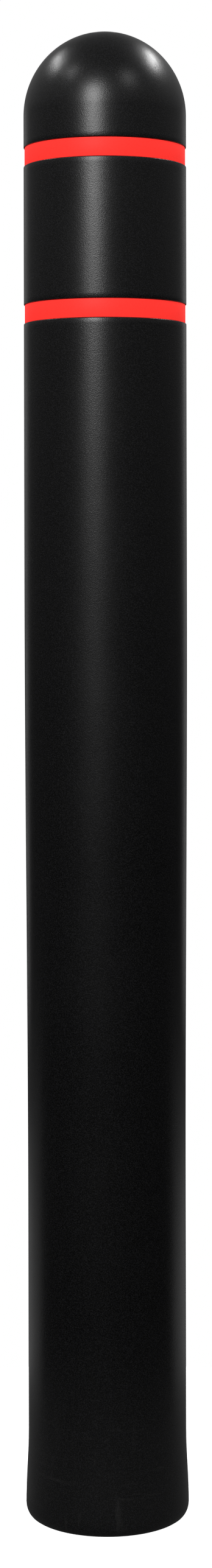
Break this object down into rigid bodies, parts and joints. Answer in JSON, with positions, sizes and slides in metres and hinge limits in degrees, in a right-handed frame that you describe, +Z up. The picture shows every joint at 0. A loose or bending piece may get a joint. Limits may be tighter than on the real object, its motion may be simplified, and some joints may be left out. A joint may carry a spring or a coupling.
{
  "type": "retractable bollard",
  "caption": "Round dome-topped post with recessed reflective bands that sinks on gas springs into a casing in the ground and is locked by a key in its dome.",
  "frame": {"origin": "on the post's axis at the finished ground level", "axes": "+Z up along the post, -Y towards the front, +X towards the right lock bolt"},
  "size_m": [0.23, 0.23, 2.358],
  "materials": {
    "cover_black": "satin moulded plastic with a fine grain",
    "band_red": "reflective tape",
    "galvanised_steel": "hot-dip galvanised",
    "stainless_steel": "turned",
    "dark_steel": "black oxide",
    "sleeve_nylon": "turned nylon",
    "pale_nylon": "turned nylon",
    "foam_grey": "foam tape",
    "rubber_black": "moulded rubber",
    "bronze": "machined",
    "drain_plastic": "drain pipe plastic"
  },
  "bodies": {
    "casing": {"casing_tube": "galvanised_steel", "ground_flange": "galvanised_steel", "guide_neck": "stainless_steel", "guide_bush": "pale_nylon", "wiper_seal": "rubber_black", "stop_ring": "galvanised_steel", "guide_rails": "galvanised_steel", "upper_keepers": "galvanised_steel", "lower_keepers": "galvanised_steel", "base_plate": "galvanised_steel", "drain_spigot": "drain_plastic", "bottom_buffers": "rubber_black", "lower_spring_brackets": "galvanised_steel", "lower_spring_pins": "dark_steel", "front_spring_rod": "stainless_steel", "rear_spring_rod": "stainless_steel", "anchor_lugs": "galvanised_steel"},
    "post": {"bollard_cover": "cover_black", "upper_reflective_band": "band_red", "lower_reflective_band": "band_red", "post_tube": "galvanised_steel", "head_plate": "galvanised_steel", "lock_housing": "galvanised_steel", "stop_collar": "galvanised_steel", "upper_spring_brackets": "galvanised_steel", "lock_escutcheon": "stainless_steel", "cap_hinge_pin": "stainless_steel", "carriage_top_plate": "dark_steel", "carriage_bottom_plate": "dark_steel", "bolt_guides": "dark_steel", "carriage_screws": "dark_steel", "shoe_screws": "dark_steel", "upper_spring_pins": "dark_steel", "front_spring_cylinder": "dark_steel", "rear_spring_cylinder": "dark_steel", "guide_sleeve": "sleeve_nylon", "guide_shoes": "pale_nylon", "cover_foam_rings": "foam_grey", "stop_buffer": "rubber_black", "upper_shaft_bush": "bronze", "lower_shaft_bushes": "bronze"},
    "lock_drive": {"spindle_head": "stainless_steel", "lock_shaft": "stainless_steel", "lock_pinion": "bronze", "shaft_circlip": "dark_steel"},
    "right_bolt": {"right_lock_bolt": "stainless_steel"},
    "left_bolt": {"left_lock_bolt": "stainless_steel"},
    "lock_cap": {"lock_cap": "cover_black"}
  },
  "joints": [
    {"name": "post_slide", "type": "slide", "parent": "casing", "child": "post", "axis": [0, 0, 1], "range_m": [-1.02, 0], "stiffness_N_per_m": 80, "springref_m": 2.9},
    {"name": "lock_turn", "type": "hinge", "parent": "post", "child": "lock_drive", "pos_m": [0, 0, -0.165], "axis": [0, 0, 1], "range_deg": [0, 120]},
    {"name": "right_bolt_slide", "type": "slide", "parent": "post", "child": "right_bolt", "axis": [1, 0, 0], "range_m": [0, 0.02096]},
    {"name": "left_bolt_slide", "type": "slide", "parent": "post", "child": "left_bolt", "axis": [-1, 0, 0], "range_m": [0, 0.02096]},
    {"name": "cap_hinge", "type": "hinge", "parent": "post", "child": "lock_cap", "pos_m": [0, 0.0115, 1.0505], "axis": [-1, 0, 0], "range_deg": [0, 100]}
  ],
  "couplings": [
    {"joint": "right_bolt_slide", "follows": "lock_turn", "m_per_rad": 0.01},
    {"joint": "left_bolt_slide", "follows": "lock_turn", "m_per_rad": 0.01}
  ]
}
